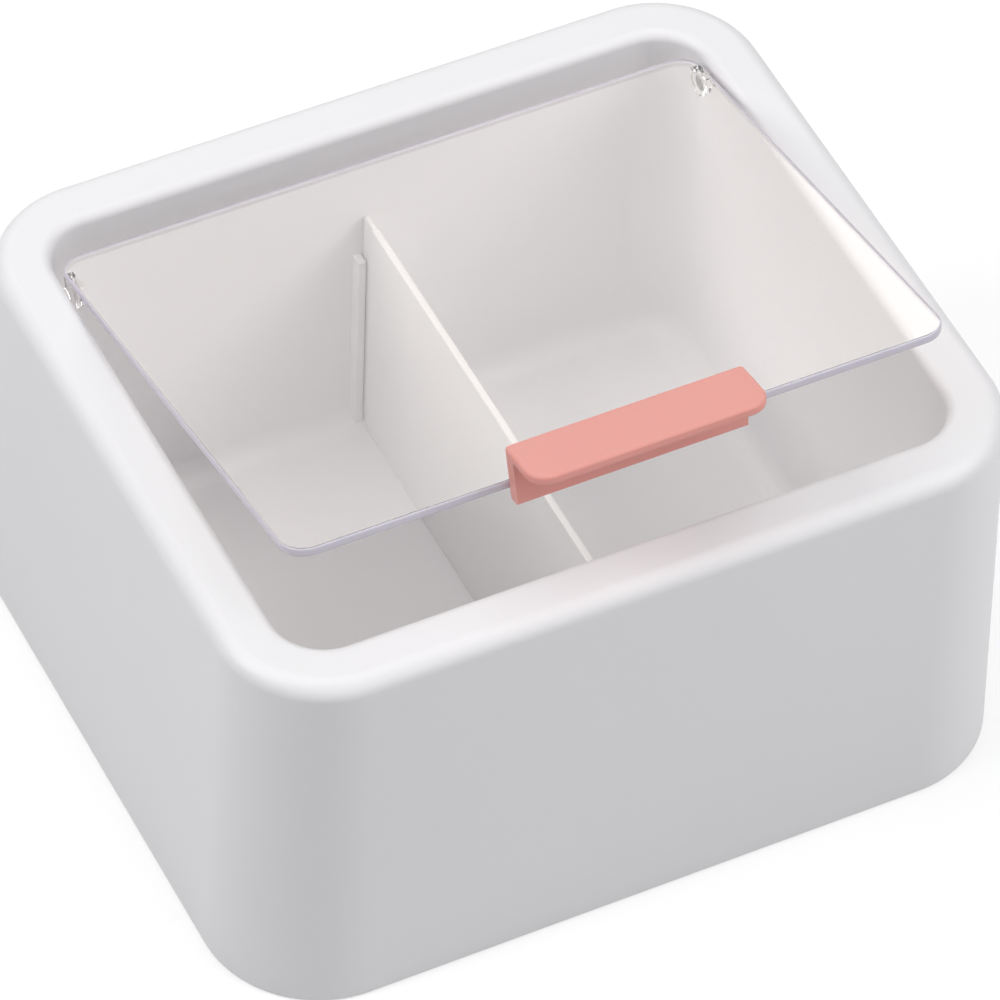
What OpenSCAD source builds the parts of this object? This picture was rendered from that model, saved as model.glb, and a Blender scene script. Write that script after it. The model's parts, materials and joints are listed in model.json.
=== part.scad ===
// Two-compartment storage container with a clear flip lid, modelled with its lid resting part open.
// Millimetres, +Z up, the base's middle at the origin, -Y is the side the tab is on.

/* [Tub] */
// Width of the tub across the rim
tub_width = 150; // [140:1:160]
// Depth of the tub, front to back, across the rim
tub_depth = 130; // [122:1:140]
// Height from the table to the top of the rim
tub_height = 82; // [76:1:90]
// Radius of the rim's corners seen from above
corner_radius = 20; // [18:0.5:22]
// Flat breadth of the turned-over rim, outer edge to opening
rim_breadth = 10.4; // [10:0.2:11]
// Thickness of the moulded walls, floor and rim
wall = 2.2; // [2:0.1:2.4]
// How far the outer skirt leans outward on its way down, in degrees
skirt_flare = 1.5; // [1:0.1:2]
// Rounding of the rim's outer edge
rim_outer_round = 3.5; // [3:0.1:4]
// Rounding of the rim's inner edge
rim_inner_round = 2; // [1.6:0.1:2]
// Rounding between the compartment walls and the floor
floor_round = 5; // [4:0.5:6]
// Gap between the table and the underside of the floor
floor_lift = 2; // [1.6:0.2:3]

/* [Divider] */
// Height of the divider's top edge above the table
divider_top = 58; // [52:1:62]
// Thickness of the divider
divider_thickness = 1.4; // [1.2:0.1:1.8]
// Thickness of the divider's tongues, which stand between the ribs
divider_tongue = 0.9; // [0.7:0.1:1.1]
// Distance of the divider from the tub's middle
divider_offset = 1; // [-4:0.5:4]
// Free space round the divider, each side
divider_gap = 0.3; // [0.2:0.05:0.4]

/* [Lid] */
// Angle that the lid stands open at in the rest pose, in degrees
lid_open = 12.25; // [0:0.25:20]
// Thickness of the clear lid
lid_thickness = 1.8; // [1.6:0.1:2]
// Free space beside the lid, each side
lid_side_gap = 1.4; // [1.3:0.05:1.5]
// How far the closed lid's face lies under the rim
lid_sink = 0.3; // [0.2:0.1:0.6]
// Radius of the lid's front corners
lid_front_round = 5; // [4:0.5:7]
// Radius of the lid's back corners
lid_back_round = 5; // [4:0.5:5]
// Softening of the lid's upper and lower edges
lid_edge = 0.5; // [0.3:0.1:0.7]
// Diameter of the hinge pins moulded on the lid
pin_diameter = 3; // [2.8:0.1:3]
// Radial clearance of the pins in their holes
pin_clearance = 0.08; // [0.06:0.01:0.1]

/* [Pull tab] */
// Length of the tab along the lid's front edge
tab_length = 45.4; // [40:0.2:50]
// How far the tab's plate stands out in front of its web
tab_reach = 9.4; // [8.4:0.2:10]
// Thickness of the tab's plate
tab_plate = 2; // [1.8:0.1:2.2]
// Thickness of the tab's upright web
tab_web = 2.6; // [2.4:0.1:2.6]
// Height of the tab's top above the lid's face
tab_rise = 7.5; // [7:0.1:8]
// Softening of the tab's edges
tab_edge = 0.6; // [0.4:0.1:0.8]

/* [Hidden] */
$fn = 64;

// Plan: corner centres, compartment opening and the foot of the flared skirt
corner_x = tub_width / 2 - corner_radius;
corner_y = tub_depth / 2 - corner_radius;
inner_r = corner_radius - rim_breadth;
inner_x = corner_x + inner_r;
inner_y = corner_y + inner_r;
floor_top = floor_lift + wall;
floor_r = inner_r - floor_round;
knee_z = floor_top + floor_round;

// Skirt: the outer round meets the flared face at its tangent point
bend_r = corner_radius - rim_outer_round;
bend_z = tub_height - rim_outer_round;
bend_in = rim_outer_round - wall;
foot_round = 1;
skirt_top_z = bend_z - rim_outer_round * sin(skirt_flare);
function skirt_r(z, depth) =
    bend_r + (rim_outer_round - depth) / cos(skirt_flare) + (bend_z - z) * tan(skirt_flare);
foot_r = skirt_r(foot_round, foot_round);

// Stiffening webs between the compartment walls and the skirt
web_thickness = 1.6;
web_foot_z = 6;
web_top_z = tub_height - wall / 2;
web_root_r = inner_r + wall / 2;
web_span_x = 34;
web_span_y = 28;

// Guide ribs that hold the divider
rib_depth = 2.4;
rib_width = 1.6;
rib_drop = 10;
divider_half = inner_y - divider_gap;
divider_tongue_length = 3.6;
divider_corner_gap = 1.5;
divider_round = floor_round + divider_corner_gap;

// Hinge: the pins' line in the tub, and where it lies in the lid
hinge_back = 12.6;
pin_y = inner_y - hinge_back;
lid_tail = 6;
pin_drop = 3.7;
lid_face_z = tub_height - lid_sink;
pin_z = lid_face_z - pin_drop;
pin_tip_gap = 0.2;
pin_reach = wall - pin_tip_gap;
lug_thickness = 1.8;
lug_radius = 2.6;
lug_gap = lid_side_gap;

// Lid outline in its closed place
lid_front_gap = 0.4;
lid_half = inner_x - lid_side_gap;
lid_back_y = pin_y + lid_tail;
lid_front_y = -inner_y + tab_web + lid_front_gap;

// Tab: its web stands against the lid's front edge and takes the lid's tongue
tab_drop = 3.9;
tab_front_round = 4;
tab_back_round = 0.9;
tab_web_inset = 0.3;
tab_draft = 0.4;
tab_back_y = lid_front_y;
tab_front_y = lid_front_y - tab_web - tab_reach;
tongue_length = 24;
tongue_depth = 1.3;
tongue_root = 1;
tongue_thickness = 1;
tongue_gap = 0.05;

// Ledge inside the front wall that the closed tab's web comes down on
rest_width = 26;
rest_depth = 2.2;
rest_lip = 1;
rest_height = 6;
rest_gap = 0.3;
rest_z = lid_face_z - tab_drop - rest_gap;

// Quarter ring or quarter disc about a point, from one angle to the next
module sector(centre, outer, inner, from, to) {
    far = outer * 2;
    mid = (from + to) / 2;
    translate(centre)
        intersection() {
            difference() {
                circle(r = outer);
                if (inner > 0)
                    circle(r = inner);
            }
            polygon([
                [0, 0],
                [far * cos(from), far * sin(from)],
                [far * cos(mid), far * sin(mid)],
                [far * cos(to), far * sin(to)]
            ]);
        }
}

// Half section through a wall: x runs outward from the corner centre, y is height
module wall_section() {
    // Floor edge and the round up to the compartment wall
    translate([0, floor_lift])
        square([floor_r, wall]);
    sector([floor_r, knee_z], floor_round + wall, floor_round, -90, 0);
    translate([inner_r, knee_z])
        square([wall, tub_height - rim_inner_round - knee_z]);

    // Rim, rounded into the compartment wall and into the skirt
    sector([inner_r + rim_inner_round, tub_height - rim_inner_round], rim_inner_round, 0, 90, 180);
    translate([inner_r + rim_inner_round, tub_height - wall])
        square([bend_r - inner_r - rim_inner_round, wall]);
    sector([bend_r, bend_z], rim_outer_round, bend_in, skirt_flare, 90);

    // Flared skirt and its foot
    polygon([
        [skirt_r(foot_round, 0), foot_round],
        [skirt_r(foot_round, wall), foot_round],
        [bend_r + bend_in * cos(skirt_flare), bend_z + bend_in * sin(skirt_flare)],
        [bend_r + rim_outer_round * cos(skirt_flare), bend_z + rim_outer_round * sin(skirt_flare)]
    ]);
    polygon([
        [skirt_r(0, wall), 0],
        [foot_r, 0],
        [foot_r, foot_round],
        [skirt_r(foot_round, wall), foot_round]
    ]);
    sector([foot_r, foot_round], foot_round, 0, -90, 0);
}

// A straight run of a section, facing +X
module run(length) {
    rotate([90, 0, 0])
        linear_extrude(height = length, center = true)
            children();
}

// A quarter turn of a section, from +X round to +Y
module turn() {
    rotate_extrude(angle = 90)
        children();
}

// Compartment walls, floor, rim and skirt in one continuous skin
module tub_shell() {
    for (side = [0, 180]) {
        rotate([0, 0, side])
            translate([corner_x, 0, 0])
                run(corner_y * 2)
                    wall_section();
        rotate([0, 0, side + 90])
            translate([corner_y, 0, 0])
                run(corner_x * 2)
                    wall_section();
        rotate([0, 0, side])
            translate([corner_x, corner_y, 0])
                turn()
                    wall_section();
        rotate([0, 0, side])
            translate([-corner_x, corner_y, 0])
                rotate([0, 0, 90])
                    turn()
                        wall_section();
    }
    translate([-corner_x, -corner_y, floor_lift])
        cube([corner_x * 2, corner_y * 2, wall]);
}

// One web across the hidden gap, under the rim, facing +X
module web(distance, offset) {
    translate([distance, offset, 0])
        run(web_thickness)
            polygon([
                [web_root_r, web_foot_z],
                [skirt_r(web_foot_z, wall / 2), web_foot_z],
                [skirt_r(skirt_top_z, wall / 2), skirt_top_z],
                [bend_r, web_top_z],
                [web_root_r, web_top_z]
            ]);
}

module tub_webs() {
    for (side = [0, 180], offset = [-1, 1]) {
        rotate([0, 0, side])
            web(corner_x, offset * web_span_y / 2);
        rotate([0, 0, side + 90])
            web(corner_y, offset * web_span_x / 2);
    }
}

// Pairs of ribs up the front and back compartment walls, either side of the divider
module divider_guides() {
    rib_top = divider_top - rib_drop;
    for (facing = [-1, 1], beside = [-1, 1])
        translate([
            divider_offset + beside * (divider_tongue / 2 + divider_gap + rib_width / 2) - rib_width / 2,
            facing > 0 ? inner_y - rib_depth : -inner_y - wall / 2,
            floor_top - wall / 2
        ])
            cube([rib_width, rib_depth + wall / 2, rib_top - floor_top + wall / 2]);
}

// Ledge on the front wall, flat on top and sloped below
module lid_rest() {
    translate([0, -inner_y, rest_z])
        rotate([0, 0, 90])
            run(rest_width)
                polygon([
                    [-wall / 2, 0],
                    [rest_depth, 0],
                    [rest_depth, -rest_lip],
                    [0, -rest_height],
                    [-wall / 2, -rest_height]
                ]);
}

module tub() {
    color("#efeef3")
        difference() {
            union() {
                tub_shell();
                tub_webs();
                divider_guides();
                lid_rest();
            }
            // Holes that the lid's pins turn in
            for (sx = [-1, 1])
                translate([sx * (inner_x + wall / 2), pin_y, pin_z])
                    rotate([0, 90, 0])
                        cylinder(d = pin_diameter + 2 * pin_clearance, h = wall * 2, center = true);
        }
}

// The divider's outline from the side, its lower corners clear of the floor's rounds
module divider_outline() {
    low = divider_round;
    translate([-divider_half, low])
        square([divider_half * 2, divider_top - floor_top - low]);
    translate([-divider_half + low, 0])
        square([(divider_half - low) * 2, low]);
    for (end = [-1, 1])
        intersection() {
            translate([end * (divider_half - low), low])
                circle(r = low);
            translate([end * (divider_half - low / 2) - low / 2, 0])
                square([low, low]);
        }
}

// Thin panel that stands on the floor, with thinner tongues at its ends between the ribs
module divider() {
    color("#f4f4f2")
        translate([divider_offset, 0, floor_top])
            rotate([90, 0, 90]) {
                linear_extrude(height = divider_tongue, center = true)
                    divider_outline();
                linear_extrude(height = divider_thickness, center = true)
                    intersection() {
                        divider_outline();
                        translate([divider_tongue_length - divider_half, 0])
                            square([(divider_half - divider_tongue_length) * 2, divider_top]);
                    }
            }
}

// Turns a lid piece from its closed place to the rest pose, about the pins
module opened() {
    translate([0, pin_y, pin_z])
        rotate([-lid_open, 0, 0])
            translate([0, -pin_y, -pin_z])
                children();
}

// Half section of a flat plate, with its outer edges rounded
module soft_section(reach, thickness, edge) {
    square([reach - edge, thickness]);
    translate([reach - edge, edge])
        square([edge, thickness - 2 * edge]);
    sector([reach - edge, edge], edge, 0, -90, 0);
    sector([reach - edge, thickness - edge], edge, 0, 0, 90);
}

// Flat plate from front to back, its front and back corners rounded by their own radii
module soft_plate(half, front, back, front_r, back_r, thickness, edge) {
    front_y = front + front_r;
    back_y = back - back_r;
    front_x = half - front_r;
    back_x = half - back_r;
    translate([-front_x, front_y, 0])
        cube([front_x * 2, back_y - front_y, thickness]);
    translate([0, front_y, 0])
        rotate([0, 0, -90])
            run(front_x * 2)
                soft_section(front_r, thickness, edge);
    translate([0, back_y, 0])
        rotate([0, 0, 90])
            run(back_x * 2)
                soft_section(back_r, thickness, edge);
    for (sx = [-1, 1]) {
        translate([sx * front_x, (front_y + back_y) / 2, 0])
            rotate([0, 0, sx > 0 ? 0 : 180])
                run(back_y - front_y)
                    soft_section(front_r, thickness, edge);
        translate([sx * front_x, front_y, 0])
            rotate([0, 0, sx > 0 ? -90 : 180])
                turn()
                    soft_section(front_r, thickness, edge);
        translate([sx * back_x, back_y, 0])
            rotate([0, 0, sx > 0 ? 0 : 90])
                turn()
                    soft_section(back_r, thickness, edge);
    }
}

// One hinge lug under the lid's side with its pin pointing outward
module hinge_lug(sx) {
    lug_mid = lid_half - lug_thickness / 2;
    translate([sx * lug_mid, pin_y, pin_z]) {
        rotate([0, 90, 0])
            cylinder(r = lug_radius, h = lug_thickness, center = true);
        translate([-lug_thickness / 2, -lug_radius, 0])
            cube([lug_thickness, lug_radius * 2, pin_drop - lid_thickness / 2]);
    }
    pin_length = lug_thickness / 2 + lug_gap + pin_reach;
    translate([sx * (lug_mid + pin_length / 2), pin_y, pin_z])
        rotate([0, 90, 0])
            cylinder(d = pin_diameter, h = pin_length, center = true);
}

// Clear panel with softened faces, two lugs with pins and the tongue for the tab
module lid() {
    color("#e8eef2", 0.35)
        opened() {
            translate([0, 0, lid_face_z - lid_thickness])
                soft_plate(lid_half, lid_front_y, lid_back_y,
                    lid_front_round, lid_back_round, lid_thickness, lid_edge);
            hinge_lug(-1);
            hinge_lug(1);
            translate([
                -tongue_length / 2,
                lid_front_y - tongue_depth,
                lid_face_z - lid_thickness / 2 - tongue_thickness / 2
            ])
                cube([tongue_length, tongue_depth + tongue_root, tongue_thickness]);
        }
}

// Section of the tab's upright web, its lower corners rounded; x runs forward, y up
module web_section() {
    top = tab_rise + tab_drop - tab_plate / 2;
    translate([0, tab_edge])
        square([tab_web, top - tab_edge]);
    translate([tab_edge, 0])
        square([tab_web - 2 * tab_edge, tab_edge]);
    sector([tab_edge, tab_edge], tab_edge, 0, 180, 270);
    sector([tab_web - tab_edge, tab_edge], tab_edge, 0, -90, 0);
}

// Upright web, its ends leaning in by the draft towards the bottom
module tab_upright() {
    top = tab_rise + tab_drop - tab_plate / 2;
    half = tab_length / 2 - tab_web_inset;
    intersection() {
        rotate([0, 0, -90])
            run(half * 2)
                web_section();
        rotate([90, 0, 0])
            linear_extrude(height = tab_web * 3, center = true)
                polygon([
                    [tab_draft - half, 0],
                    [half - tab_draft, 0],
                    [half, top],
                    [-half, top]
                ]);
    }
}

// Upside-down L: an upright web on the lid's edge with a finger plate along its top
module pull_tab() {
    color("#ebada5")
        opened()
            difference() {
                union() {
                    translate([0, 0, lid_face_z + tab_rise - tab_plate])
                        soft_plate(tab_length / 2, tab_front_y, tab_back_y,
                            tab_front_round, tab_back_round, tab_plate, tab_edge);
                    translate([0, tab_back_y, lid_face_z - tab_drop])
                        tab_upright();
                }
                // Slot that the lid's tongue is pushed into
                translate([
                    -tongue_length / 2 - tongue_gap,
                    lid_front_y - tongue_depth - tongue_gap,
                    lid_face_z - lid_thickness / 2 - tongue_thickness / 2 - tongue_gap
                ])
                    cube([
                        tongue_length + 2 * tongue_gap,
                        tongue_depth + tongue_root,
                        tongue_thickness + 2 * tongue_gap
                    ]);
            }
}

tub();
divider();
lid();
pull_tab();
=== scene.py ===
"""A white storage container with two compartments, a clear flip lid and a salmon pull tab.

Sizes are in millimetres, as in the part's source, and become metres only when a mesh is made.
The lid and its tab are built closed and then turned about the pins to the angle they rest at.
"""

from __future__ import annotations

import json
import logging
import math
from collections.abc import Iterable, Mapping, Sequence
from dataclasses import dataclass
from enum import Enum

import bmesh
import bpy
from mathutils import Matrix, Vector


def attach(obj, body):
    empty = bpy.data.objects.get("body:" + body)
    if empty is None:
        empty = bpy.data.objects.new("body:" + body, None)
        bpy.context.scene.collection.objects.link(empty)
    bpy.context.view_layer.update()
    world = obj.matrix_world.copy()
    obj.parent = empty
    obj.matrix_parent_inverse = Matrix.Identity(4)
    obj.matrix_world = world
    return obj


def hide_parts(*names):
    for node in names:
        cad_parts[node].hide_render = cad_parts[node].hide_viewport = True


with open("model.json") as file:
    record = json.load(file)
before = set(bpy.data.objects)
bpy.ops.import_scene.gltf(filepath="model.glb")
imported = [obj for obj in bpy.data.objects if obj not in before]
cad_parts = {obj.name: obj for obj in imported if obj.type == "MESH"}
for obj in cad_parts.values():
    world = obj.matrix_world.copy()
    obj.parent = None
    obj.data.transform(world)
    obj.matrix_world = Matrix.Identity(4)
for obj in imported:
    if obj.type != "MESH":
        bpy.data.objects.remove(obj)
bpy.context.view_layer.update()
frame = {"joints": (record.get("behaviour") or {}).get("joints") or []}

log = logging.getLogger("container")

MM = 0.001
SHARP_ANGLE = math.radians(35)
SAME_POINT = 1e-6
SLIVER = 1e-7
BEVEL_STEPS = 3

Point = tuple[float, float]
Place = tuple[float, float, float]


class Join(Enum):
    """How one solid is combined with another."""

    ADD = "UNION"
    CUT = "DIFFERENCE"


class Side(Enum):
    """The way a straight piece faces, as a turn about Z in degrees from +X."""

    RIGHT = 0
    BACK = 90
    LEFT = 180
    FRONT = -90


def arc(centre: Point, radius: float, start: float, end: float, steps: int) -> list[Point]:
    """Points along an arc, both ends included.

    Args:
        centre: The arc's centre.
        radius: The arc's radius.
        start: The angle it starts at, in degrees.
        end: The angle it ends at, in degrees.
        steps: The number of straight steps along it.

    Returns:
        The points in order.
    """
    angles = [math.radians(start + (end - start) * i / steps) for i in range(steps + 1)]
    return [(centre[0] + radius * math.cos(a), centre[1] + radius * math.sin(a)) for a in angles]


@dataclass(frozen=True)
class Station:
    """One place round an outline: a corner's centre, its radius and the way out from it."""

    centre: Point
    radius: float
    outward: Point

    def at(self, inset: float) -> Point:
        """Returns the point that lies inset inside the outline here."""
        reach = self.radius - inset
        return (
            self.centre[0] + reach * self.outward[0],
            self.centre[1] + reach * self.outward[1],
        )


@dataclass(frozen=True)
class Outline:
    """A rectangle with rounded corners, seen from above."""

    half_width: float
    front: float
    back: float
    front_round: float
    back_round: float
    corner_steps: int = 20

    def stations(self) -> list[Station]:
        """Returns the stations round the outline, anticlockwise from the right side's back."""
        corners = [
            (1, self.back, self.back_round, 0),
            (-1, self.back, self.back_round, 90),
            (-1, self.front, self.front_round, 180),
            (1, self.front, self.front_round, 270),
        ]
        found: list[Station] = []
        for side, edge, radius, turn in corners:
            inward = -radius if edge == self.back else radius
            centre = (side * (self.half_width - radius), edge + inward)
            for out in arc((0, 0), 1, turn, turn + 90, self.corner_steps):
                found.append(Station(centre, radius, out))
        return found


def swept_solid(profile: Sequence[Point], outline: Outline) -> bmesh.types.BMesh:
    """Makes a closed skin from a profile carried round an outline.

    Args:
        profile: (inset, height) points from the top face's edge, round the outside, to the
            underside's edge.
        outline: The outline that the insets are measured from.

    Returns:
        The solid, capped flat inside the profile's first and last points.
    """
    solid = bmesh.new()
    stations = outline.stations()
    rings = []
    for inset, height in profile:
        places = [(*station.at(inset), height) for station in stations]
        rings.append([solid.verts.new([v * MM for v in place]) for place in places])
    count = len(stations)
    for upper, lower in zip(rings, rings[1:]):
        for i in range(count):
            j = (i + 1) % count
            solid.faces.new((upper[i], lower[i], lower[j], upper[j]))
    solid.faces.new(rings[0])
    solid.faces.new(reversed(rings[-1]))
    bmesh.ops.recalc_face_normals(solid, faces=solid.faces)
    return solid


def prism(section: Sequence[Point], length: float, soften: float) -> bmesh.types.BMesh:
    """Makes a straight bar of a section in the XZ plane, centred along Y, with softened edges.

    Args:
        section: The section's corners, in order.
        length: The bar's length along Y.
        soften: The bevel along every edge, or 0 for none.

    Returns:
        The bar.
    """
    solid = bmesh.new()
    ends = []
    for y in (-length / 2, length / 2):
        ends.append([solid.verts.new((x * MM, y * MM, z * MM)) for x, z in section])
    near, far = ends
    solid.faces.new(near)
    solid.faces.new(reversed(far))
    for i in range(len(section)):
        j = (i + 1) % len(section)
        solid.faces.new((near[i], near[j], far[j], far[i]))
    bmesh.ops.recalc_face_normals(solid, faces=solid.faces)
    if soften > 0:
        bmesh.ops.bevel(
            solid,
            geom=solid.edges[:],
            offset=soften * MM,
            segments=BEVEL_STEPS,
            profile=0.5,
            affect="EDGES",
            clamp_overlap=True,
        )
    return solid


def turned_bar(profile: Sequence[Point], steps: int = 48) -> bmesh.types.BMesh:
    """Makes a round bar along X by turning a profile about the X axis.

    Args:
        profile: (x, radius) points from one end to the other, the radius always above 0.
        steps: The number of flats round the bar.

    Returns:
        The bar, with flat ends.
    """
    solid = bmesh.new()
    rings = []
    for x, radius in profile:
        circle = arc((0, 0), radius, 0, 360, steps)[:-1]
        rings.append([solid.verts.new((x * MM, y * MM, z * MM)) for y, z in circle])
    for first, second in zip(rings, rings[1:]):
        for i in range(steps):
            j = (i + 1) % steps
            solid.faces.new((first[i], second[i], second[j], first[j]))
    solid.faces.new(rings[0])
    solid.faces.new(reversed(rings[-1]))
    bmesh.ops.recalc_face_normals(solid, faces=solid.faces)
    return solid


def as_object(
    solid: bmesh.types.BMesh, name: str, move: Matrix = Matrix.Identity(4)
) -> bpy.types.Object:
    """Turns a solid into an object in the scene.

    Args:
        solid: The solid, which is used up.
        name: The object's name.
        move: What is done to the mesh first, in metres.

    Returns:
        The object, at the origin.
    """
    mesh = bpy.data.meshes.new(name)
    solid.to_mesh(mesh)
    solid.free()
    mesh.transform(move)
    made = bpy.data.objects.new(name, mesh)
    bpy.context.scene.collection.objects.link(made)
    return made


def placed(place: Place, side: Side = Side.RIGHT) -> Matrix:
    """Returns the move to a place in millimetres, after a turn about Z to face a side."""
    shift = Matrix.Translation(Vector(place) * MM)
    return shift @ Matrix.Rotation(math.radians(side.value), 4, "Z")


def combine(target: bpy.types.Object, tools: Iterable[bpy.types.Object], how: Join) -> None:
    """Adds solids to a target, or cuts them out of it, and removes them.

    Args:
        target: The object whose mesh changes.
        tools: The solids, one after the other.
        how: Whether they are added or cut.
    """
    for tool in tools:
        step = target.modifiers.new(how.name, "BOOLEAN")
        step.operation = how.value
        step.solver = "EXACT"
        step.object = tool
        take_modifiers(target)
        mesh = tool.data
        bpy.data.objects.remove(tool)
        bpy.data.meshes.remove(mesh)


def take_modifiers(target: bpy.types.Object) -> None:
    """Writes an object's modifiers into its mesh and clears them."""
    bpy.context.view_layer.update()
    graph = bpy.context.evaluated_depsgraph_get()
    old = target.data
    target.data = bpy.data.meshes.new_from_object(target.evaluated_get(graph))
    target.data.name = target.name
    target.modifiers.clear()
    bpy.data.meshes.remove(old)


def smooth_skin(target: bpy.types.Object) -> None:
    """Shades an object as moulded: flats stay flat, rounds are smooth and real corners sharp."""
    solid = bmesh.new()
    solid.from_mesh(target.data)
    bmesh.ops.remove_doubles(solid, verts=solid.verts, dist=SAME_POINT)
    bmesh.ops.dissolve_degenerate(solid, dist=SLIVER, edges=solid.edges)
    for face in solid.faces:
        face.smooth = True
    for edge in solid.edges:
        edge.smooth = len(edge.link_faces) == 2 and edge.calc_face_angle(0) < SHARP_ANGLE
    solid.to_mesh(target.data)
    solid.free()
    step = target.modifiers.new("even_normals", "WEIGHTED_NORMAL")
    step.weight = 100
    step.keep_sharp = True
    take_modifiers(target)


def linear_colour(code: str) -> tuple[float, float, float, float]:
    """Turns an sRGB hex colour into Blender's linear one.

    Args:
        code: Six hex digits after a hash sign.

    Returns:
        Red, green, blue and a full alpha.
    """
    parts = [int(code[i : i + 2], 16) / 255 for i in (1, 3, 5)]
    red, green, blue = (p / 12.92 if p <= 0.04045 else ((p + 0.055) / 1.055) ** 2.4 for p in parts)
    return (red, green, blue, 1.0)


def add_node(
    tree: bpy.types.NodeTree,
    kind: str,
    settings: Mapping[str, object] | None = None,
    inputs: Mapping[str | int, object] | None = None,
) -> bpy.types.Node:
    """Adds one node with its settings and links.

    Args:
        tree: The tree it goes into.
        kind: The node's type.
        settings: Properties to set on it.
        inputs: Values, or the sockets that are linked in, by the input's name or number.

    Returns:
        The node.
    """
    node = tree.nodes.new(kind)
    for name, value in (settings or {}).items():
        setattr(node, name, value)
    for name, value in (inputs or {}).items():
        if isinstance(value, bpy.types.NodeSocket):
            tree.links.new(value, node.inputs[name])
        else:
            node.inputs[name].default_value = value
    return node


def new_material(name: str) -> tuple[bpy.types.Material, bpy.types.NodeTree]:
    """Returns a new material and its node tree, empty."""
    material = bpy.data.materials.new(name)
    material.use_nodes = True
    material.node_tree.nodes.clear()
    return material, material.node_tree


def noise(tree: bpy.types.NodeTree, spacing: float, detail: float = 2.0) -> bpy.types.NodeSocket:
    """Adds a noise in the object's own coordinates.

    Args:
        tree: The material's tree.
        spacing: The distance between its blobs, in millimetres.
        detail: How many finer layers it has.

    Returns:
        The noise's height, about 0 to 1.
    """
    place = add_node(tree, "ShaderNodeTexCoord").outputs["Object"]
    blobs = add_node(
        tree,
        "ShaderNodeTexNoise",
        inputs={"Vector": place, "Scale": 1 / (spacing * MM), "Detail": detail, "Roughness": 0.5},
    )
    return blobs.outputs["Fac"]


@dataclass(frozen=True)
class MouldedPlastic:
    """Opaque plastic, injection moulded in a lightly spark-eroded steel mould.

    The mould's fine grain spreads highlights into a soft sheen. It is 0.1 mm on the real one
    and is drawn several times coarser, so that it still shows. The glow is the little light
    that goes in below its skin, which warms its shaded sides.
    """

    name: str
    colour: str
    deep_colour: str
    roughness: float
    grain: float = 0.55
    grain_height: float = 0.012
    grain_strength: float = 0.35
    sheen_spread: float = 0.04
    cloud: float = 38.0
    ior: float = 1.5
    glow: float = 0.06
    glow_depth: float = 1.2
    glow_tint: Place = (1.0, 0.9, 0.8)
    gloss: float = 0.5

    def material(self) -> bpy.types.Material:
        """Returns the plastic as a material."""
        material, tree = new_material(self.name)
        tone = add_node(
            tree,
            "ShaderNodeMix",
            {"data_type": "RGBA"},
            {
                "Factor": noise(tree, self.cloud),
                "A": linear_colour(self.colour),
                "B": linear_colour(self.deep_colour),
            },
        )
        sheen = add_node(
            tree,
            "ShaderNodeMapRange",
            inputs={
                "Value": noise(tree, self.cloud / 3, 3.0),
                "To Min": self.roughness - self.sheen_spread,
                "To Max": self.roughness + self.sheen_spread,
            },
        )
        grain = add_node(
            tree,
            "ShaderNodeBump",
            inputs={
                "Height": noise(tree, self.grain),
                "Strength": self.grain_strength,
                "Distance": self.grain_height * MM,
            },
        )
        skin = add_node(
            tree,
            "ShaderNodeBsdfPrincipled",
            inputs={
                "Base Color": tone.outputs["Result"],
                "Roughness": sheen.outputs["Result"],
                "IOR": self.ior,
                "Specular IOR Level": self.gloss,
                "Normal": grain.outputs["Normal"],
                "Subsurface Weight": self.glow,
                "Subsurface Radius": self.glow_tint,
                "Subsurface Scale": self.glow_depth * MM,
            },
        )
        add_node(tree, "ShaderNodeOutputMaterial", inputs={"Surface": skin.outputs["BSDF"]})
        return material


@dataclass(frozen=True)
class ClearPlastic:
    """Clear polystyrene, injection moulded in a polished mould.

    It is as bright as glass on its faces and shows pale and dark lines along its edges. Lamps
    shine through it onto what lies under it, as they do through the real one.
    """

    name: str
    colour: str
    shade_colour: str
    roughness: float = 0.015
    ior: float = 1.5
    flow: float = 26.0
    flow_height: float = 0.004
    flow_strength: float = 0.2

    def material(self) -> bpy.types.Material:
        """Returns the plastic as a material."""
        material, tree = new_material(self.name)
        flow = add_node(
            tree,
            "ShaderNodeBump",
            inputs={
                "Height": noise(tree, self.flow, 1.0),
                "Strength": self.flow_strength,
                "Distance": self.flow_height * MM,
            },
        )
        clear = add_node(
            tree,
            "ShaderNodeBsdfPrincipled",
            inputs={
                "Base Color": linear_colour(self.colour),
                "Roughness": self.roughness,
                "IOR": self.ior,
                "Transmission Weight": 1.0,
                "Normal": flow.outputs["Normal"],
            },
        )
        through = add_node(
            tree, "ShaderNodeBsdfTransparent", inputs={"Color": linear_colour(self.shade_colour)}
        )
        path = add_node(tree, "ShaderNodeLightPath").outputs
        lighting = add_node(
            tree,
            "ShaderNodeMath",
            {"operation": "MAXIMUM"},
            {0: path["Is Shadow Ray"], 1: path["Is Diffuse Ray"]},
        )
        both = add_node(
            tree,
            "ShaderNodeMixShader",
            inputs={
                0: lighting.outputs["Value"],
                1: clear.outputs["BSDF"],
                2: through.outputs["BSDF"],
            },
        )
        add_node(tree, "ShaderNodeOutputMaterial", inputs={"Surface": both.outputs["Shader"]})
        return material


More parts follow.
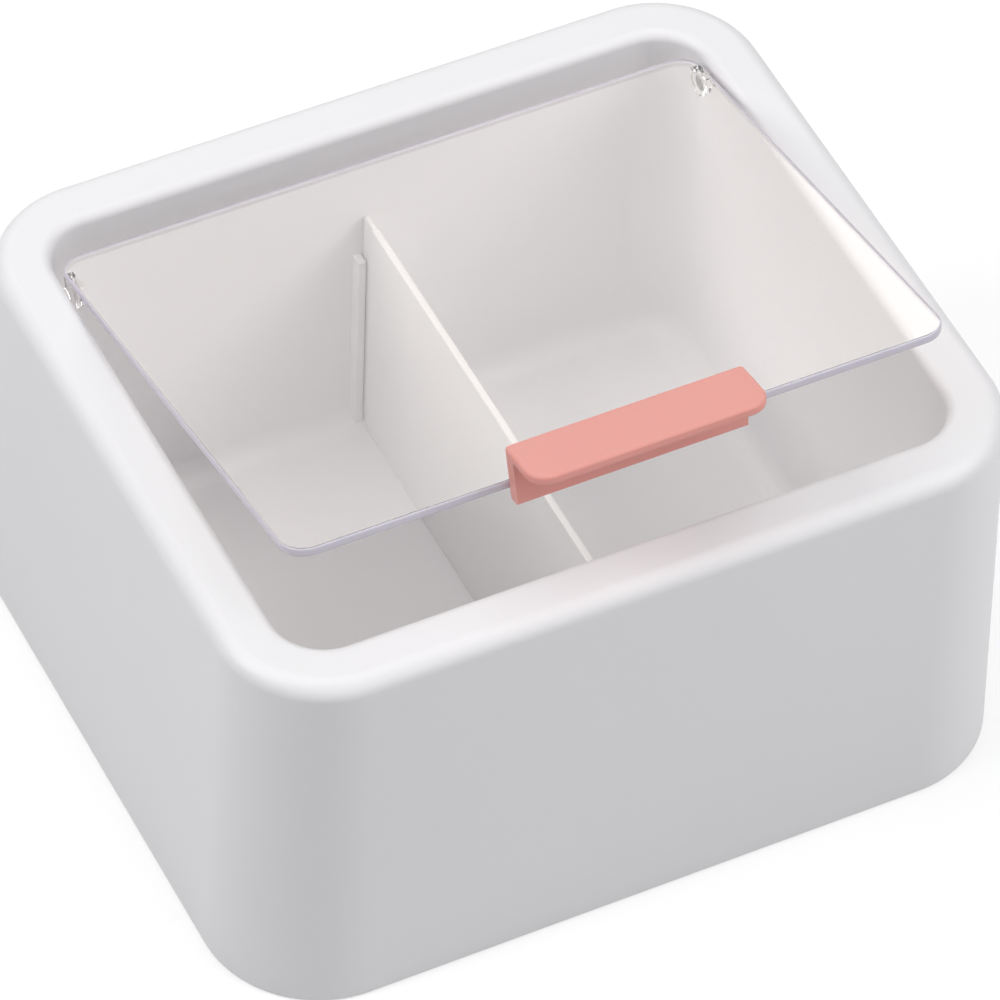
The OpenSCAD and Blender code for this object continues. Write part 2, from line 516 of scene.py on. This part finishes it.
@dataclass(frozen=True)
class PaintedEdgeLight:
    """The edges of a clear polystyrene moulding.

    Light that enters the broad faces is caught between them and comes out here, so the edges
    Its colours are painted light: a pale lilac grey band that stands in for the light which enters
    the broad faces, is caught between them and comes out at the edges, where the faces show what
    lies behind them.
    """

    name: str
    # colour and deep_colour are painted edge light, mixed by a random streak noise
    colour: str
    deep_colour: str
    roughness: float = 0.22
    clearness: float = 0.12
    ior: float = 1.5
    streak: float = 14.0

    def material(self) -> bpy.types.Material:
        """Returns the edge as a material."""
        material, tree = new_material(self.name)
        tone = add_node(
            tree,
            "ShaderNodeMix",
            {"data_type": "RGBA"},
            {
                "Factor": noise(tree, self.streak),
                "A": linear_colour(self.colour),
                "B": linear_colour(self.deep_colour),
            },
        )
        edge = add_node(
            tree,
            "ShaderNodeBsdfPrincipled",
            inputs={
                "Base Color": tone.outputs["Result"],
                "Roughness": self.roughness,
                "IOR": self.ior,
                "Transmission Weight": self.clearness,
            },
        )
        add_node(tree, "ShaderNodeOutputMaterial", inputs={"Surface": edge.outputs["BSDF"]})
        return material


@dataclass(frozen=True)
class MilkySheet:
    """Thin natural polypropylene sheet, extruded and cut.

    Light passes into it and comes out scattered, so it looks milky white with a bright edge.
    """

    name: str
    colour: str
    roughness: float = 0.38
    clearness: float = 0.12
    ior: float = 1.49
    haze: float = 1.6
    haze_height: float = 0.01
    haze_strength: float = 0.25
    glow: float = 0.15
    glow_depth: float = 1.0

    def material(self) -> bpy.types.Material:
        """Returns the sheet as a material."""
        material, tree = new_material(self.name)
        haze = add_node(
            tree,
            "ShaderNodeBump",
            inputs={
                "Height": noise(tree, self.haze),
                "Strength": self.haze_strength,
                "Distance": self.haze_height * MM,
            },
        )
        sheet = add_node(
            tree,
            "ShaderNodeBsdfPrincipled",
            inputs={
                "Base Color": linear_colour(self.colour),
                "Roughness": self.roughness,
                "IOR": self.ior,
                "Transmission Weight": self.clearness,
                "Normal": haze.outputs["Normal"],
                "Subsurface Weight": self.glow,
                "Subsurface Radius": (1.0, 1.0, 1.0),
                "Subsurface Scale": self.glow_depth * MM,
            },
        )
        add_node(tree, "ShaderNodeOutputMaterial", inputs={"Surface": sheet.outputs["BSDF"]})
        return material


TUB_PLASTIC = MouldedPlastic("abs_moulded_white", "#F2F1F3", "#F0EFF1", 0.42)
TAB_PLASTIC = MouldedPlastic(
    "abs_moulded_salmon",
    "#ECA8A0",
    "#EAA399",
    0.4,
    grain=0.4,
    glow=0.25,
    glow_depth=2.5,
    glow_tint=(1.0, 0.35, 0.25),
    gloss=0.2,
)
LID_PLASTIC = ClearPlastic("polystyrene_moulded_clear", "#FDFBF9", "#FBF9F7")
# The lid's edge colours are painted light, not the plastic's own colour
LID_EDGE_PAINTED_LIGHT = PaintedEdgeLight("polystyrene_moulded_edge", "#E6E0EE", "#D8D3E0")
SHEET_PLASTIC = MilkySheet("polypropylene_sheet_milky", "#F7F6F7")


def dress(
    piece: bpy.types.Object,
    finish: MouldedPlastic | ClearPlastic | MilkySheet,
    node: str,
    body: str,
) -> None:
    """Gives a piece its finish and ties it to the frame.

    Args:
        piece: The finished piece.
        finish: What it is made of.
        node: The CAD node that it stands for, which is hidden.
        body: The body that it moves with.
    """
    piece.data.materials.clear()
    piece.data.materials.append(finish.material())
    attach(piece, body)
    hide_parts(node)
    log.info("%s: %d faces, finish %s", piece.name, len(piece.data.polygons), finish.name)


@dataclass(frozen=True)
class Hinge:
    """The line that the lid turns on, and how far the lid stands open at rest."""

    name: str = "lid_hinge"

    def joint(self) -> dict:
        """Returns the frame's own joint."""
        return next(j for j in frame["joints"] if j["name"] == self.name)

    def place(self) -> Place:
        """Returns a point on the line, in millimetres."""
        x, y, z = (v / MM for v in self.joint()["pos_m"])
        return (x, y, z)

    def opened(self) -> Matrix:
        """Returns the move from the closed place to the rest pose."""
        closed = self.joint()["range_deg"][0]
        axis = Vector(self.joint()["axis"])
        centre = Vector(self.joint()["pos_m"])
        turn = Matrix.Rotation(math.radians(-closed), 4, axis)
        return Matrix.Translation(centre) @ turn @ Matrix.Translation(-centre)


@dataclass(frozen=True)
class Tub:
    """The white moulding: compartment walls and floor, rim, flared skirt and what is inside."""

    width: float = 150.0
    depth: float = 130.0
    height: float = 82.0
    corner: float = 20.0
    rim: float = 10.4
    wall: float = 2.2
    flare: float = 1.5
    outer_round: float = 3.5
    inner_round: float = 2.0
    floor_round: float = 5.0
    floor_lift: float = 2.0
    foot_round: float = 1.0
    web_thickness: float = 1.6
    web_foot: float = 6.0
    web_spans: Point = (34.0, 28.0)
    guide_depth: float = 2.4
    guide_width: float = 1.6
    guide_top: float = 48.0
    ledge_width: float = 26.0
    ledge_depth: float = 2.2
    ledge_lip: float = 1.0
    ledge_height: float = 6.0
    ledge_top: float = 77.5
    hole: float = 3.16
    soft_edge: float = 0.2
    knee_steps: int = 10
    rim_steps: int = 14
    foot_steps: int = 8

    @property
    def opening(self) -> Point:
        """Half the opening's width and depth."""
        return (self.width / 2 - self.rim, self.depth / 2 - self.rim)

    @property
    def floor_top(self) -> float:
        """Height of the floor that things stand on."""
        return self.floor_lift + self.wall

    def skirt_inset(self, height: float, depth: float = 0.0) -> float:
        """Inset of the skirt at a height, at a depth into its wall; below 0 is outside the rim.

        Args:
            height: Height above the table.
            depth: Depth into the wall, square to its face.

        Returns:
            The inset from the rim's outline.
        """
        lean = math.radians(self.flare)
        bend = self.height - self.outer_round
        reach = (self.outer_round - depth) / math.cos(lean) + (bend - height) * math.tan(lean)
        return self.outer_round - reach

    def profile(self) -> list[Point]:
        """Returns the wall's profile from the floor's edge, over the rim and back underneath."""
        knee = (self.rim + self.floor_round, self.floor_top + self.floor_round)
        lip = (self.rim - self.inner_round, self.height - self.inner_round)
        bend = (self.outer_round, self.height - self.outer_round)
        foot = (self.skirt_inset(self.foot_round, self.foot_round), self.foot_round)
        thin = self.outer_round - self.wall
        outer_wall = self.rim - self.wall
        return [
            *arc(knee, self.floor_round, 270, 180, self.knee_steps),
            *arc(lip, self.inner_round, 0, 90, self.knee_steps),
            *arc(bend, self.outer_round, 90, 180 - self.flare, self.rim_steps),
            *arc(foot, self.foot_round, 180 - self.flare, 270, self.foot_steps),
            (self.skirt_inset(0, self.wall), 0),
            *arc(bend, thin, 180 - self.flare, 90, self.foot_steps),
            (outer_wall, self.height - self.wall),
            *arc(knee, self.floor_round + self.wall, 180, 270, self.knee_steps),
        ]

    def shell(self) -> bpy.types.Object:
        """Returns the continuous skin as an object."""
        outline = Outline(self.width / 2, -self.depth / 2, self.depth / 2, self.corner, self.corner)
        return as_object(swept_solid(self.profile(), outline), "tub_moulding")

    def webs(self) -> list[bpy.types.Object]:
        """Returns the stiffening webs in the hidden gap, two to a side."""
        mid = self.wall / 2
        top = self.height - mid
        bend = self.height - self.outer_round
        root = -self.rim + mid
        section = [
            (root, self.web_foot),
            (-self.skirt_inset(self.web_foot, mid), self.web_foot),
            (-self.skirt_inset(bend, mid), bend),
            (-self.outer_round, top),
            (root, top),
        ]
        made = []
        for side in Side:
            across = side in (Side.LEFT, Side.RIGHT)
            reach = (self.width if across else self.depth) / 2
            span = self.web_spans[1 if across else 0]
            for offset in (-span / 2, span / 2):
                bar = prism(section, self.web_thickness, 0)
                turn = Matrix.Rotation(math.radians(side.value), 4, "Z")
                shift = Matrix.Translation(Vector((reach, offset, 0)) * MM)
                made.append(as_object(bar, "web", turn @ shift))
        return made

    def guides(self, centre: float, slot: float) -> list[bpy.types.Object]:
        """Makes the ribs that hold the divider.

        Args:
            centre: Where the divider stands along X.
            slot: The free width between a pair of ribs.

        Returns:
            The four ribs.
        """
        low = self.floor_top - self.wall / 2
        section = [
            (-self.wall / 2, low),
            (self.guide_depth, low),
            (self.guide_depth, self.guide_top),
            (-self.wall / 2, self.guide_top),
        ]
        made = []
        for side, edge in ((Side.BACK, -self.opening[1]), (Side.FRONT, self.opening[1])):
            for beside in (-1, 1):
                x = centre + beside * (slot + self.guide_width) / 2
                bar = prism(section, self.guide_width, self.soft_edge)
                made.append(as_object(bar, "guide", placed((x, edge, 0), side)))
        return made

    def ledge(self) -> bpy.types.Object:
        """Returns the ledge that the closed tab comes down on."""
        section = [
            (-self.wall / 2, 0),
            (self.ledge_depth, 0),
            (self.ledge_depth, -self.ledge_lip),
            (0, -self.ledge_height),
            (-self.wall / 2, -self.ledge_height),
        ]
        bar = prism(section, self.ledge_width, self.soft_edge)
        return as_object(bar, "ledge", placed((0, -self.opening[1], self.ledge_top), Side.BACK))

    def holes(self, hinge: Hinge) -> list[bpy.types.Object]:
        """Returns the solids that cut the holes for the lid's pins."""
        _, y, z = hinge.place()
        middle = self.opening[0] + self.wall / 2
        made = []
        for side in (-1, 1):
            bar = turned_bar([(-self.wall, self.hole / 2), (self.wall, self.hole / 2)])
            made.append(as_object(bar, "hole", placed((side * middle, y, z))))
        return made

    def build(self, hinge: Hinge, divider: Divider) -> None:
        """Builds the whole moulding and dresses it."""
        tub = self.shell()
        slot = divider.tongue + 2 * divider.gap
        added = [*self.webs(), *self.guides(divider.offset, slot), self.ledge()]
        combine(tub, added, Join.ADD)
        combine(tub, self.holes(hinge), Join.CUT)
        smooth_skin(tub)
        dress(tub, TUB_PLASTIC, "tub", "container")


@dataclass(frozen=True)
class Divider:
    """The thin panel between the compartments, with thinner ends that stand between ribs."""

    offset: float = 1.0
    thickness: float = 1.4
    tongue: float = 0.9
    tongue_length: float = 3.6
    top: float = 58.0
    gap: float = 0.3
    low_round: float = 6.5
    low_steps: int = 8
    top_round: float = 0.6
    top_steps: int = 4
    soft_edge: float = 0.3

    def slab(self, tub: Tub, reach: float, thickness: float) -> bpy.types.Object:
        """Makes one layer of the panel, with softened rims.

        Args:
            tub: The tub that it stands in.
            reach: Half the layer's length, front to back.
            thickness: The layer's thickness.

        Returns:
            The layer, in its place.
        """
        half = tub.opening[1] - self.gap
        low = self.low_round
        base = tub.floor_top
        edge = self.top_round
        corner = 360 - math.degrees(math.acos(min(1.0, (reach - half + low) / low)))
        right = arc((half - low, base + low), low, 270, corner, self.low_steps)
        right[-1] = (reach, right[-1][1])
        section = [
            *right,
            *arc((reach - edge, self.top - edge), edge, 0, 90, self.top_steps),
            *arc((edge - reach, self.top - edge), edge, 90, 180, self.top_steps),
            *[(-y, z) for y, z in reversed(right)],
        ]
        solid = prism(section, thickness, 0)
        rims = [e for e in solid.edges if any(len(f.verts) > 4 for f in e.link_faces)]
        bmesh.ops.bevel(
            solid,
            geom=rims,
            offset=self.soft_edge * MM,
            segments=BEVEL_STEPS,
            profile=0.5,
            affect="EDGES",
        )
        return as_object(solid, "divider_panel", placed((self.offset, 0, 0), Side.BACK))

    def build(self, tub: Tub) -> None:
        """Builds the panel with its thinner end tongues and dresses it."""
        half = tub.opening[1] - self.gap
        panel = self.slab(tub, half, self.tongue)
        combine(panel, [self.slab(tub, half - self.tongue_length, self.thickness)], Join.ADD)
        smooth_skin(panel)
        dress(panel, SHEET_PLASTIC, "divider", "container")


def soft_profile(thickness: float, base: float, edge: float, steps: int = 6) -> list[Point]:
    """Makes the profile of a flat plate with rounded edges.

    Args:
        thickness: The plate's thickness.
        base: Height of its underside.
        edge: Radius of its upper and lower edges.
        steps: The number of steps round each edge.

    Returns:
        (inset, height) points from the top to the underside.
    """
    return [
        *arc((edge, base + thickness - edge), edge, 90, 180, steps),
        *arc((edge, base + edge), edge, 180, 270, steps),
    ]


@dataclass(frozen=True)
class Lid:
    """The clear moulding: a flat panel, a lug and pin under each side, and the tab's tongue."""

    half_width: float = 63.2
    front: float = -51.6
    back: float = 48.0
    face: float = 81.7
    thickness: float = 1.8
    front_round: float = 5.0
    back_round: float = 5.0
    edge: float = 0.5
    lug_thickness: float = 1.8
    lug_radius: float = 2.6
    lug_edge: float = 0.25
    lug_steps: int = 16
    pin: float = 3.0
    pin_end: float = 66.6
    pin_edge: float = 0.3
    pin_steps: int = 4
    tongue: Place = (24.0, 1.3, 1.0)
    tongue_root: float = 1.0
    face_share: float = 0.9

    def panel(self) -> bpy.types.Object:
        """Returns the flat panel."""
        outline = Outline(self.half_width, self.front, self.back, self.front_round, self.back_round)
        profile = soft_profile(self.thickness, self.face - self.thickness, self.edge)
        return as_object(swept_solid(profile, outline), "lid_clear")

    def lug(self, hinge: Hinge) -> bmesh.types.BMesh:
        """Returns one lug: a plate that hangs from the panel and is rounded under the pin."""
        _, _, pin_z = hinge.place()
        rise = self.face - self.thickness / 2 - pin_z
        section = [
            *arc((0, 0), self.lug_radius, 180, 360, self.lug_steps),
            (self.lug_radius, rise),
            (-self.lug_radius, rise),
        ]
        return prism(section, self.lug_thickness, self.lug_edge)

    def pin_bar(self, inner: float) -> bmesh.types.BMesh:
        """Returns one pin, pointing along +X from an inner place, with a rounded end."""
        radius = self.pin / 2
        edge = self.pin_edge
        tip = arc((self.pin_end - edge, radius - edge), edge, 90, 0, self.pin_steps)
        return turned_bar([(inner, radius), *tip])

    def build(self, hinge: Hinge) -> None:
        """Builds the lid, opens it to the rest pose and dresses it."""
        lid = self.panel()
        _, pin_y, pin_z = hinge.place()
        middle = self.half_width - self.lug_thickness / 2
        added = []
        for side in (Side.LEFT, Side.RIGHT):
            sign = 1 if side is Side.RIGHT else -1
            added.append(
                as_object(self.lug(hinge), "lug", placed((sign * middle, pin_y, pin_z), Side.BACK))
            )
            turn = Matrix.Rotation(math.radians(side.value), 4, "Z")
            shift = Matrix.Translation(Vector((0, pin_y, pin_z)) * MM)
            added.append(as_object(self.pin_bar(middle), "pin", shift @ turn))
        long, deep, thick = self.tongue
        half = thick / 2
        root = -self.tongue_root
        section = [(root, -half), (deep, -half), (deep, half), (root, half)]
        centre = (0, self.front, self.face - self.thickness / 2)
        added.append(as_object(prism(section, long, 0), "tongue", placed(centre, Side.FRONT)))
        combine(lid, added, Join.ADD)
        lid.data.transform(hinge.opened())
        smooth_skin(lid)
        dress(lid, LID_PLASTIC, "lid", "lid")
        # The lid's edge faces get the material whose colour is painted light
        lid.data.materials.append(LID_EDGE_PAINTED_LIGHT.material())
        upward = hinge.opened().to_3x3() @ Vector((0, 0, 1))
        top = hinge.opened() @ Vector((0, 0, self.face * MM))
        for face in lid.data.polygons:
            flat = abs(face.normal.dot(upward)) > self.face_share
            depth = (top - face.center).dot(upward) / MM
            face.material_index = 0 if flat or depth > self.thickness else 1


@dataclass(frozen=True)
class PullTab:
    """The salmon moulding: an upright web on the lid's edge with a finger plate on top."""

    length: float = 45.4
    plate: float = 2.0
    web: float = 2.6
    reach: float = 9.4
    rise: float = 7.5
    drop: float = 3.9
    front_round: float = 4.0
    back_round: float = 0.9
    web_inset: float = 0.3
    draft: float = 0.4
    edge: float = 0.6
    edge_steps: int = 6
    slot_gap: float = 0.05
    slot_lead: float = 1.0

    def finger_plate(self, lid: Lid) -> bpy.types.Object:
        """Returns the plate that a fingertip lifts."""
        front = lid.front - self.web - self.reach
        outline = Outline(
            self.length / 2, front, lid.front, self.front_round, self.back_round, corner_steps=12
        )
        profile = soft_profile(self.plate, lid.face + self.rise - self.plate, self.edge)
        return as_object(swept_solid(profile, outline), "pull_tab_moulding")

    def upright(self, lid: Lid) -> bpy.types.Object:
        """Returns the web that stands against the lid's edge, its ends leaning in downward."""
        top = self.rise + self.drop - self.plate / 2
        edge = self.edge
        section = [
            *arc((edge, edge), edge, 180, 270, self.edge_steps),
            *arc((self.web - edge, edge), edge, 270, 360, self.edge_steps),
            (self.web, top),
            (0, top),
        ]
        half = self.length / 2 - self.web_inset
        bar = prism(section, half * 2, 0)
        for vert in bar.verts:
            vert.co.y *= 1 - self.draft / half * (1 - vert.co.z / MM / top)
        place = (0, lid.front, lid.face - self.drop)
        return as_object(bar, "web", placed(place, Side.FRONT))

    def slot(self, lid: Lid) -> bpy.types.Object:
        """Returns the solid that cuts the slot for the lid's tongue."""
        long, deep, thick = lid.tongue
        half = thick / 2 + self.slot_gap
        reach = deep + self.slot_gap
        lead = -self.slot_lead
        section = [(lead, -half), (reach, -half), (reach, half), (lead, half)]
        place = (0, lid.front, lid.face - lid.thickness / 2)
        bar = prism(section, long + 2 * self.slot_gap, 0)
        return as_object(bar, "slot", placed(place, Side.FRONT))

    def build(self, lid: Lid, hinge: Hinge) -> None:
        """Builds the tab on the lid's edge, opens it with the lid and dresses it."""
        tab = self.finger_plate(lid)
        combine(tab, [self.upright(lid)], Join.ADD)
        combine(tab, [self.slot(lid)], Join.CUT)
        tab.data.transform(hinge.opened())
        smooth_skin(tab)
        dress(tab, TAB_PLASTIC, "pull_tab", "lid")


@dataclass(frozen=True)
class Softbox:
    """One square studio lamp, aimed at the container."""

    name: str
    place: Place
    size: float
    watts: float
    colour: str = "#FFFFFF"

    def build(self, aim: Vector) -> None:
        """Hangs the lamp in the scene."""
        lamp = bpy.data.lights.new(self.name, "AREA")
        lamp.shape = "SQUARE"
        lamp.size = self.size
        lamp.energy = self.watts
        lamp.color = linear_colour(self.colour)[:3]
        made = bpy.data.objects.new(self.name, lamp)
        bpy.context.scene.collection.objects.link(made)
        made.location = self.place
        made.rotation_euler = (aim - Vector(self.place)).to_track_quat("-Z", "Y").to_euler()


@dataclass(frozen=True)
class Camera:
    """The photograph's camera: a long lens, looking down on the front left corner."""

    azimuth: float = -28.025
    elevation: float = 48.038
    roll: float = 2.499
    distance: float = 1404.3
    aim: Place = (0.43, -3.28, 40.0)
    lens: float = 281.5
    sensor: float = 36.0
    nearest: float = 0.05
    farthest: float = 50.0

    def build(self) -> None:
        """Creates the camera and makes it the scene's."""
        turn, lift, lean = (math.radians(v) for v in (self.azimuth, self.elevation, self.roll))
        back = Vector(
            (math.sin(turn) * math.cos(lift), -math.cos(turn) * math.cos(lift), math.sin(lift))
        )
        level = Vector((math.cos(turn), math.sin(turn), 0))
        upright = back.cross(level)
        right = math.cos(lean) * level + math.sin(lean) * upright
        up = back.cross(right)
        data = bpy.data.cameras.new("photo_camera")
        data.lens = self.lens
        data.sensor_width = self.sensor
        data.clip_start = self.nearest
        data.clip_end = self.farthest
        made = bpy.data.objects.new("photo_camera", data)
        bpy.context.scene.collection.objects.link(made)
        turned = Matrix((right, up, back)).transposed().to_4x4()
        place = (Vector(self.aim) + back * self.distance) * MM
        made.matrix_world = Matrix.Translation(place) @ turned
        bpy.context.scene.camera = made


def seen_directly(tree: bpy.types.NodeTree) -> bpy.types.NodeSocket:
    """Tells the rays that show a backdrop from those that light the object.

    Args:
        tree: The backdrop's tree.

    Returns:
        1 where the camera looks at it, also through glass or off gloss, and 0 for light that
        has been scattered by a surface.
    """
    path = add_node(tree, "ShaderNodeLightPath").outputs
    clear = add_node(
        tree,
        "ShaderNodeMath",
        {"operation": "MAXIMUM"},
        {0: path["Is Camera Ray"], 1: path["Is Transmission Ray"]},
    )
    bright = add_node(
        tree,
        "ShaderNodeMath",
        {"operation": "MAXIMUM"},
        {0: clear.outputs["Value"], 1: path["Is Glossy Ray"]},
    )
    unscattered = add_node(
        tree, "ShaderNodeMath", {"operation": "LESS_THAN"}, {0: path["Diffuse Depth"], 1: 0.5}
    )
    seen = add_node(
        tree,
        "ShaderNodeMath",
        {"operation": "MULTIPLY"},
        {0: bright.outputs["Value"], 1: unscattered.outputs["Value"]},
    )
    return seen.outputs["Value"]


@dataclass(frozen=True)
class Studio:
    """A plain pale floor, a backdrop that shows white, and soft lamps."""

    floor_size: float = 12.0
    floor_colour: str = "#BCBCBD"
    floor_lift: float = 0.6
    aim: Place = (0.0, 0.0, 0.05)
    lamps: tuple[Softbox, ...] = (
        Softbox("top", (0.0, 0.0, 1.5), 1.2, 7.6),
        Softbox("left", (-1.2, 0.2, 1.1), 1.0, 14.6),
        Softbox("right", (1.0, -0.8, 1.1), 1.0, 10.9),
        Softbox("front", (0.3, -1.4, 0.5), 1.0, 4.3),
        Softbox("back", (0.2, 1.4, 0.8), 1.0, 3.9),
    )

    def floor(self) -> None:
        """Lays the floor, which shows white to the camera and keeps a soft shadow."""
        half = self.floor_size / 2
        solid = bmesh.new()
        corners = [(-half, -half), (half, -half), (half, half), (-half, half)]
        solid.faces.new([solid.verts.new((x, y, 0)) for x, y in corners])
        floor = as_object(solid, "studio_floor")
        material, tree = new_material("studio_paper")
        matt = add_node(
            tree, "ShaderNodeBsdfDiffuse", inputs={"Color": linear_colour(self.floor_colour)}
        )
        glow = add_node(
            tree,
            "ShaderNodeMath",
            {"operation": "MULTIPLY"},
            {0: seen_directly(tree), 1: self.floor_lift},
        )
        lift = add_node(tree, "ShaderNodeEmission", inputs={"Strength": glow.outputs["Value"]})
        both = add_node(
            tree,
            "ShaderNodeAddShader",
            inputs={0: matt.outputs["BSDF"], 1: lift.outputs["Emission"]},
        )
        add_node(tree, "ShaderNodeOutputMaterial", inputs={"Surface": both.outputs["Shader"]})
        floor.data.materials.append(material)

    def world(self) -> None:
        """Surrounds the scene with white that shows, also in gloss, but lights no surface."""
        world = bpy.data.worlds.new("studio_surround")
        world.use_nodes = True
        tree = world.node_tree
        tree.nodes.clear()
        sky = add_node(
            tree,
            "ShaderNodeBackground",
            inputs={"Color": linear_colour("#FFFFFF"), "Strength": seen_directly(tree)},
        )
        add_node(tree, "ShaderNodeOutputWorld", inputs={"Surface": sky.outputs["Background"]})
        bpy.context.scene.world = world

    def build(self) -> None:
        """Builds the floor, the surround and the lamps."""
        self.floor()
        self.world()
        for lamp in self.lamps:
            lamp.build(Vector(self.aim))
        bpy.context.scene.view_settings.view_transform = "Standard"


def main() -> None:
    """Builds every piece around the frame and reports each one."""
    logging.basicConfig(level=logging.INFO, format="%(name)s: %(message)s")
    hinge, tub, divider, lid, tab = Hinge(), Tub(), Divider(), Lid(), PullTab()
    Camera().build()
    Studio().build()
    tub.build(hinge, divider)
    divider.build(tub)
    lid.build(hinge)
    tab.build(lid, hinge)


if __name__ == "__main__":
    main()
